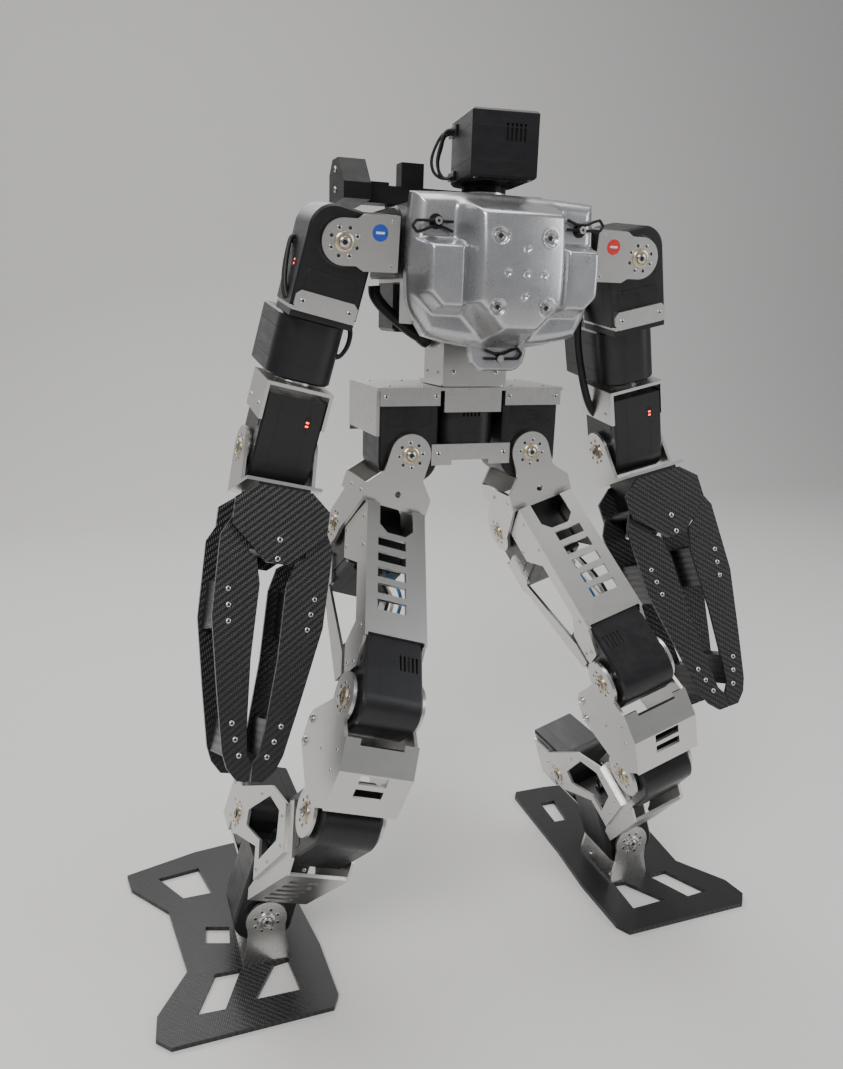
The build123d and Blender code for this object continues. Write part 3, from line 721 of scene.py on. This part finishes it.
    # knee
    P = Piece()
    for s in (-1, 1):
        hn(P, s * P1, K1[0], -K1[1])
        hn(P, s * P1, K2[0], -K2[1])
        for dz in (29, 43):
            P.lathe([(3.0, -0.05), (3.0, 0.8), (2.6, 1.2), (1.7, 1.3), (1.55, 0.8)],
                    at((s * P1, K1[0] + 34, -K1[1] - dz), (s, 0, 0)), 0, 24)
        for y, z in ((-15, -36), (-15, -24), (6, -34)):
            screw(P, (s * P1, K1[0] + y, -K1[1] + z), (s, 0, 0), 1.2, 0.5)
    P.emit(n("knee_hardware"), n("knee"), leg, m, MATS)
    # shin
    P = Piece()
    for s in (-1, 1):
        F = (s, 0, 0)
        horn_face(P, (s * 21.1, ANK[0], -ANK[1]), F)
        horn_disc(P, (s * (W / 2 + 0.05), ANK[0], -ANK[1]), F, gap=1.7)
        for u, v in ((-9, 38), (8, 38), (-13, 60), (-13, 79), (33, 78)):
            y, z = K2[0] + u * C44 + v * S44, -(K2[1] - u * S44 + v * C44)
            screw(P, (s * 21.1, y, z), F, 1.3, 0.55)
    P.emit(n("shin_hardware"), n("shin"), leg, m, MATS)
    P = Piece()
    for k, (x, u) in enumerate(((-8, -4), (-3, 0), (3, -3), (8, 0))):
        P.tube([(x, u + 6, -38), (x + 1, u + 1, -50), (x - 1, 4 + 0.5 * u, -66), (x, 12 + 0.4 * u, -82),
                (x * 0.75, 14.6, -94), (x * 0.6, 7.6, -102.9)], 1.05, k % 3, 8)
    o = P.emit(n("shin_wires"), None, shin, m, [RUBBER, WIRE_W, WIRE_B])
    n("shin")
    n("ankle")
    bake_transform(o)
    P = Piece()
    P.box(-7.4, 7.4, ROLL_Y - 2.6, ROLL_Y + 2.6, -ROLL_D + L - R_END - 0.3, -ROLL_D + L - R_END + 3.2, 0, I4, r=0.4)
    P.emit(n("ankle_plug"), n("ankle"), leg, m, [BLACK2])
    # ankle and foot
    P = Piece()
    for s in (-1, 1):
        for y, z in ((40, 0), (40, -12), (52, 6)):
            screw(P, (s * 19.0, ANK[0] + y - 20, -ANK[1] + z), (s, 0, 0), 1.3, 0.55)
    P.emit(n("ankle_screws"), n("ankle"), leg, m, MATS)
    P = Piece()
    for yy, s in ((ROLL_Y - P1, -1), (ROLL_Y + P1, 1)):
        horn_face(P, (0, yy, ANK_Z), (0, s, 0), brass=0)
    for x in (-10, 10):
        for y in (ROLL_Y - 14, ROLL_Y + 14):
            screw(P, (x, y, 5), (0, 0, 1), 1.7, 0.9)
    P.emit(n("foot_hardware"), n("foot"), foot, m, MATS)
    P = Piece()
    for s in (-1, 1):
        horn_disc(P, (0, ROLL_Y + s * (W / 2 + 0.05), ANK_Z), (0, s, 0), gap=2.15)
    P.emit(n("ankle_horn"), n("foot"), foot, m, MATS)


both_sides(limb_hardware)

# pelvis trims and strap
P = Piece()
for s in (-1, 1):
    for x in (24.5, 56.5):
        screw(P, (s * x, -19.5, T - 3.6), (0, -1, 0), 1.5, 0.7)
    screw(P, (s * 22, -19.5, HIP_Z), (0, -1, 0), 1.7, 0.8)
    for x, y in ((30, -10), (52, -10), (30, 30), (52, 30), (12, 30)):
        screw(P, (s * x, y, T + 2), (0, 0, 1), 1.4, 0.5)
P.emit("pelvis_screws", "pelvis", I4, False, MATS)
P = Piece()
P.lathe([(11.4, 0.1), (11.4, 2.2), (3.3, 2.2), (3.3, 0.1)], loc((0, 0, T)), 0, 48, closed=True)
for x, y in ((-14, -14), (14, -14), (-14, 16), (14, 16)):
    screw(P, (x, y, T + 4.6), (0, 0, 1), 1.3, 0.5)
for s in (-1, 1):
    for z in (375, 392, 410):
        for y in (-12, 6):
            screw(P, (s * 21, y, z), (s, 0, 0), 1.4, 0.6)
for x in (-14, 14):
    screw(P, (x, -20, 376), (0, -1, 0), 1.4, 0.6)
P.emit("waist_hardware", "torso", I4, False, [HORN, BLACK_AND_PAINTED_SHADE, BRASS, HORN])

# neck ring, head base
P = Piece()
P.lathe([(13.3, 0), (13.3, 1.2), (12.9, 1.6), (9, 1.6), (8.6, 1.2), (3.4, 1.2)], loc((HX, HY, T1 + 8.6)), 0, 56)
P.emit("neck_ring", "torso", I4, False, [HORN])

# leads looping on the head's right side
P = Piece()
for k, (dy, reach) in enumerate(((-3, 9.6), (0, 12.4), (3, 7.8))):
    P.tube([(-18.7, dy - 1, HZ + 28.5), (-21.5 - 0.3 * reach, dy - 0.4, HZ + 28 - k), (-19 - 0.82 * reach, dy + 1.2, HZ + 22 - k),
            (-19 - reach, dy + 2.6, HZ + 13), (-19 - 0.86 * reach, dy + 3.0, HZ + 6.5), (-21 - 0.3 * reach, dy + 2.4, HZ + 3 + 0.5 * k),
            (-18.7, dy + 1, HZ + 4.5)], 0.9, 0, 12, head, steps=10)
P.box(-20.4, -18.9, -8, 8, HZ + 25.5, HZ + 31.5, 1, head, r=0.4)
P.box(-20.2, -18.9, -6, 8, HZ + 2.2, HZ + 7.0, 1, head, r=0.4)
P.emit("head_leads", "head", I4, False, [RUBBER, BLACK2], replaces=["head_cables"])

# black guard bar from the back of the chest to the waist, on the right side
P = Piece()
P.tube([(-57, 6, 425), (-56, 6, 419), (-49, 6, 411), (-33, 6, 399), (-22, 6, 393.5)], 3.6, 0, 14, steps=6)
P.lathe([(4.6, -4), (5.2, -2), (5.2, 2), (4.6, 4)], at((-24, 6, 395), (0.8, 0, -0.6)), 0, 24)
P.emit("guard_bar", "torso", I4, False, [BMETAL])


# ------------------------------------------------------------------ chest shell
def smooth(e0, e1, x):
    t = min(max((x - e0) / (e1 - e0), 0.0), 1.0)
    return t * t * t * (t * (6 * t - 15) + 10)


def cut_dist(x, z, w, h, k, r):
    """Distance inside a rectangle w by h whose lower corners are cut by k; negative outside."""
    ax = abs(x)
    d = min(w / 2 - ax, h / 2 - z, h / 2 + z, (w / 2 - ax + h / 2 + z - k) * 0.70711)
    # soft corners
    t = [w / 2 - ax, h / 2 - z]
    if t[0] < r and t[1] < r:
        d = min(d, r - math.hypot(r - t[0], r - t[1]))
    return d


def shoulderise(d, width, height, top_r=0.35):
    """Profile of a pressed wall: rises over width with rounded foot and rim."""
    t = min(max(d / width, 0.0), 1.0)
    return height * smooth(0.0, 1.0, t)


PODS = (43.0, 431.0)
DIMPLES = [(14.59, 450.7, 4.2, 1.3), (-14.59, 450.7, 4.2, 1.3), (14.59, 414.6, 4.2, 1.3), (-14.59, 414.6, 4.2, 1.3),
           (0, 444.5, 1.9, 0.8), (-10.5, 432.5, 1.9, 0.8), (0.5, 432, 1.9, 0.8), (10.8, 431.5, 1.9, 0.8), (0, 420.5, 1.9, 0.8)]


def shell_y(x, z):
    """Front surface of the pressed shell."""
    y = -57.8
    mid = cut_dist(x, z - 433.0, 67, 79, 20, 9)
    # middle panel: steep sides, crowned up and down and gently across
    crown = 1.0 - 0.17 * ((z - 433) / 36.0) ** 2 - 0.10 * (x / 26.0) ** 2
    rise = 23.0 * smooth(0.0, 1.0, min(mid / 11.5, 1.0)) * crown if mid > 0 else 0.0
    # side pods
    px = x - PODS[0] * (1 if x > 0 else -1)
    pod = cut_dist(-px * (1 if x > 0 else -1), z - PODS[1], 27, 41, 4, 4)
    ax = abs(x)
    pd = min((ax - 26.0), 55.6 - ax, z - 409.0, 450.5 - z, (55.6 - ax + z - 409.0 - 11) * 0.70711)
    prise = 0.0
    if pd > 0:
        prise = 13.8 * smooth(0.0, 1.0, min(pd / 6.4, 1.0)) * (1 - 0.06 * ((z - 431) / 20) ** 2)
    return y - max(rise, prise) - 0.25 * min(rise, prise) * (1 - min(rise, 20) / 20)


def dimple_y(x, z):
    """Depth of the round dimples."""
    y = 0.0
    for dx, dz, r, d in DIMPLES:
        q = math.hypot(x - dx, z - dz) / r
        if q < 1.35:
            y += d * (1 - smooth(0.72, 1.12, q))
            y -= 0.22 * math.exp(-((q - 1.15) / 0.12) ** 2)
    return y


def shell_piece():
    P = Piece()
    NX, NZ = 200, 150
    rim = 9.0
    HWX, HHZ = 56.9, 41.9
    X, Z, Y = [np.zeros((NX + 1, NZ + 1)) for _ in range(3)]
    E = np.zeros((NX + 1, NZ + 1))
    for j in range(NZ + 1):
        t = -1 + 2 * j / NZ
        for i in range(NX + 1):
            s = -1 + 2 * i / NX
            # square to rounded square, its lower corners drawn in
            kk = 0.16 + 0.50 * smooth(0.0, 1.0, -t)
            x = HWX * s * math.sqrt(1 - kk * t * t / 2)
            z = HHZ * t * math.sqrt(1 - (0.16 + 0.44 * smooth(0.0, 1.0, -t)) * s * s / 2)
            X[i, j], Z[i, j] = x, 433 + z
            Y[i, j] = shell_y(x, 433 + z)
            E[i, j] = min((1 - abs(s)) * HWX, (1 - abs(t)) * HHZ)
    # the press rounds every fold
    for _ in range(7):
        Q = np.pad(Y, 1, mode="edge")
        Y = (Q[1:-1, 1:-1] * 4 + Q[:-2, 1:-1] + Q[2:, 1:-1] + Q[1:-1, :-2] + Q[1:-1, 2:]) / 8
    grid = {}
    vs = []
    for j in range(NZ + 1):
        for i in range(NX + 1):
            y = Y[i, j] + dimple_y(X[i, j], Z[i, j])
            roll = 1 - min(E[i, j] / rim, 1.0)
            back = 1 - math.sqrt(max(1 - roll * roll, 0.0))
            vs.append((X[i, j], y + back * (-46.2 - y), Z[i, j]))
            grid[i, j] = len(vs) - 1
    fs = [(grid[i, j], grid[i + 1, j], grid[i + 1, j + 1], grid[i, j + 1]) for i in range(NX) for j in range(NZ)]
    P.add(vs, fs, 0, True)
    o = P.emit("chest_shell_skin", "torso", I4, False, [PAINT], replaces=["chest_shell"])
    so = o.modifiers.new("wall", "SOLIDIFY")
    so.thickness = 0.0016
    so.offset = -1
    return o


shell = shell_piece()
# lower tab
P = Piece()
tab_out = [(-19, 397), (-18.2, 389), (-16.8, 383.5), (-13.5, 380.2), (-10, 379), (10, 379), (13.5, 380.2), (16.8, 383.5),
           (18.2, 389), (19, 397)]
F = axes((0, -47.6, 0), (1, 0, 0), (0, -1, 0))
P.prism(tab_out, 0, 3.2, F, 0, 1.6)
o = P.emit("chest_tab", "torso", I4, False, [PAINT], bevel=0.5)
P = Piece()
for sx in (-1, 1):
    for z in (450.7, 414.6):
        yy = shell_y(sx * 14.59, z) + 1.3
        G = at((sx * 14.59, yy - 0.1, z), (0, -1, 0))
        P.lathe([(2.7, -0.6), (2.7, 0.35), (2.35, 0.75), (1.5, 0.85), (1.4, 0.3)], G, 0, 28)
        # the socket: a flat black hexagon of painted shade
        P.lathe([(1.35, 0.28), (1.35, 0.32)], G, 1, 6, smooth=False)
P.emit("chest_screws", "torso", I4, False, MATS)
# post heads and washers at the clips
P = Piece()
for x, y, z in ((43.35, -60.3, 457.6), (-43.35, -60.3, 457.6), (0, -52.5, 386)):
    G = at((x, y + 1.2, z), (0, -1, 0))
    P.lathe([(4.0, -1.8), (4.0, -1.1), (3.7, -0.8), (2.2, -0.8)], G, 0, 30)
    P.lathe([(2.2, 1.6), (2.2, 2.6), (1.8, 3.2), (0.8, 3.4)], G, 0, 24)
P.emit("clip_posts", "torso", I4, False, [BMETAL])

# ------------------------------------------------------------------ back rail, controller
P = Piece()
for x in (-70, -18, 34):
    screw(P, (x, 22, T1 + 8), (0, 1, 0), 1.4, 0.7)
    screw(P, (x, 6, T1 + 8), (0, -1, 0), 1.4, 0.7)
for x in (-10, 44):
    screw(P, (x, 14, T1 + 13), (0, 0, 1), 1.6, 0.8)
screw(P, (-80, 10, T1 + 20), (-1, 0, 0), 1.8, 0.9)
screw(P, (-80, 10, T1 + 9), (-1, 0, 0), 1.8, 0.9)
P.emit("rail_screws", "torso", I4, False, MATS)
P = Piece()
YB = SHO[1] - R_END + L
for x in (-36, 36):
    for z in (404, 458):
        screw(P, (x, YB + 34, z), (0, 1, 0), 1.8, 0.9)
P.box(-30, 30, YB + 33.9, YB + 34.5, 412, 450, 2, r=0.25)
# vent slots on the back and sides: flat black strips of painted shade, not openings
for k in range(9):
    P.box(-24 + k * 6 - 0.8, -24 + k * 6 + 0.8, YB + 34.3, YB + 34.62, 418, 444, 1)
for k in range(5):
    P.box(-42.5, -41.9, YB + 8 + k * 4, YB + 9.6 + k * 4, 428, 448, 1)
    P.box(41.9, 42.5, YB + 8 + k * 4, YB + 9.6 + k * 4, 428, 448, 1)
P.emit("controller_details", "torso", I4, False, [STEEL, BLACK_AND_PAINTED_SHADE, BLACK2])
# leads from the back of the pelvis up to the controller
P = Piece()
P.tube([(10, 30, 398.5), (12, 33, 392), (14, 36, 384), (16, 37, 375), (16, 37, 366.0)], 1.6, 0, 10)
P.tube([(-6, 28, 398.5), (-8, 32, 391), (-9, 35, 383), (-10, 36, 374), (-10, 36, 366.0)], 1.6, 0, 10)
waist_lead = P.emit("waist_leads", None, I4, False, [RUBBER])
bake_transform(waist_lead)


# arm leads: on the left one runs from the shoulder servo down into the elbow bracket
def arm_lead(side, m):
    P = Piece()
    if side == "left":
        P.tube([(-16.5, 13, -27), (-21.5, 14.5, -30), (-25.0, 15, -42), (-25.8, 14.5, -58), (-25.2, 13, -74), (-23.5, 12, -88),
                (-20.5, 12.5, -97), (-16.5, 13.5, -103)], 2.5, 0, 14, steps=10)
        P.lathe([(3.4, -2.0), (3.4, 1.2), (3.0, 1.6)], at((-17.6, 13.2, -27.6), (-0.95, 0.2, -0.3)), 0, 20)
        o = P.emit("left_arm_lead", None, arm1, m, [RUBBER])
        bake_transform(o)
    else:
        P.tube([(-18.6, 2, -61), (-21.5, 2, -60), (-24.0, 3, -54), (-24.0, 4, -47), (-21.5, 5, -43), (-17.5, 5, -42.2)], 1.2, 0, 10)
        P.tube([(-18.6, 6, -63), (-22.5, 6, -61), (-25.4, 6, -54), (-25.0, 6.5, -46), (-21.5, 7, -41.8), (-17.5, 7, -41.6)], 1.2, 0, 10)
        P.tube([(18.6, 8, -4), (21.0, 7.5, -6), (22.0, 4, -13), (21.6, 1, -22), (20.8, -3, -30), (18.7, -6, -36)], 1.3, 0, 10)
        P.tube([(18.6, 11, -6), (20.6, 10.5, -9), (21.4, 7, -17), (21.2, 4, -25), (20.4, 0, -32), (18.7, -2, -37)], 1.1, 0, 10)
        P.emit("right_arm_lead", "right_upper_arm", arm1, m, [RUBBER])


both_sides(arm_lead)

# ------------------------------------------------------------------ CAD node materials
ROLE = {m["slot"]: m for m in frame["record"]["materials"]}
node_slot = {s["node"]: s["material_slot"] for s in frame["record"]["subparts"]}
for name, o in NODES.items():
    slot = node_slot[name]
    if slot == "carbon":
        mt = CARB_FOOT if name.endswith("foot_plate") else (CARB_L if name.startswith("left") else CARB_R)
    elif slot == "black_plastic":
        mt = BLACK
    elif slot == "black_metal":
        mt = BMETAL
    elif slot == "cable":
        mt = RUBBER
    elif slot == "silver_paint":
        mt = PAINT
    else:
        mt = SILVER_H if ("strap" in name or "foot" in name or "pelvis" in name) else SILVER
    o.data.materials.clear()
    o.data.materials.append(mt)
    if slot in ("silver_sheet", "carbon", "black_metal") and "clip" not in name:
        b = o.modifiers.new("edge", "BEVEL")
        b.width = 0.00022
        b.segments = 2
        b.limit_method = "ANGLE"
        b.angle_limit = math.radians(50)
        b.use_clamp_overlap = True
        b.harden_normals = False

# ------------------------------------------------------------------ stage, light, camera
me = bpy.data.meshes.new("floor")
R_, n_ = 6.0, 14
vs = [(-R_, -R_, 0), (R_, -R_, 0), (R_, 1.2, 0), (-R_, 1.2, 0)]
fs = [(0, 1, 2, 3)]
prev = (3, 2)
for k in range(1, n_ + 1):
    a = math.pi / 2 * k / n_
    y, z = 1.2 + 0.6 * math.sin(a), 0.6 - 0.6 * math.cos(a)
    vs += [(-R_, y, z), (R_, y, z)]
    fs.append((prev[0], prev[1], len(vs) - 1, len(vs) - 2))
    prev = (len(vs) - 2, len(vs) - 1)
vs += [(-R_, 1.8, 5), (R_, 1.8, 5)]
fs.append((prev[0], prev[1], len(vs) - 1, len(vs) - 2))
me.from_pydata(vs, [], fs)
me.polygons.foreach_set("use_smooth", [True] * len(fs))
floor = bpy.data.objects.new("floor", me)
bpy.context.scene.collection.objects.link(floor)
fm, nt, b = new_mat("floor_pale")
b.inputs["Base Color"].default_value = (0.70, 0.69, 0.68, 1)
b.inputs["Roughness"].default_value = 0.55
floor.data.materials.append(fm)


def area(name, at_, to, size, power, colour=(1, 1, 1)):
    li = bpy.data.lights.new(name, "AREA")
    li.shape = "RECTANGLE"
    li.size, li.size_y = size
    li.energy = power
    li.color = colour
    o = bpy.data.objects.new(name, li)
    bpy.context.scene.collection.objects.link(o)
    o.location = at_
    d = Vector(to) - Vector(at_)
    o.rotation_euler = d.to_track_quat("-Z", "Y").to_euler()
    return o


area("key", (-0.9, -1.2, 1.5), (0, 0, 0.25), (0.9, 0.7), 24, (1.0, 0.985, 0.96))
area("fill", (1.35, -0.9, 0.8), (0, 0, 0.25), (0.7, 1.1), 8, (0.97, 0.98, 1.0))
area("top", (0.1, 0.2, 1.9), (0, 0, 0.2), (1.4, 1.2), 16, (1.0, 0.99, 0.97))
area("back", (-0.3, 1.1, 1.2), (0, 0, 0.3), (1.4, 0.6), 9, (1, 1, 1))
world = bpy.data.worlds.new("world")
world.use_nodes = True
world.node_tree.nodes["Background"].inputs[0].default_value = (0.86, 0.87, 0.90, 1)
world.node_tree.nodes["Background"].inputs[1].default_value = 0.30
bpy.context.scene.world = world

cam_data = bpy.data.cameras.new("camera")
cam = bpy.data.objects.new("camera", cam_data)
bpy.context.scene.collection.objects.link(cam)
yaw, pitch, roll, f_px = 0.366, 0.251, 0.03, 881.147
fw = Vector((math.sin(yaw) * math.cos(pitch), math.cos(yaw) * math.cos(pitch), -math.sin(pitch)))
rt = Vector((math.cos(yaw), -math.sin(yaw), 0))
up = rt.cross(fw)
r2 = rt * math.cos(roll) + up * math.sin(roll)
u2 = -rt * math.sin(roll) + up * math.cos(roll)
mw = Matrix.Identity(4)
for i in range(3):
    mw[i][0], mw[i][1], mw[i][2] = r2[i], u2[i], -fw[i]
mw.translation = Vector((-0.222384, -0.517539 + MID_Y / 1000, 0.412619))
cam.matrix_world = mw
cam_data.sensor_fit = "AUTO"
cam_data.sensor_width = 36.0
cam_data.lens = f_px / 1069 * 36.0
cam_data.clip_start = 0.01
cam_data.clip_end = 50
bpy.context.scene.camera = cam
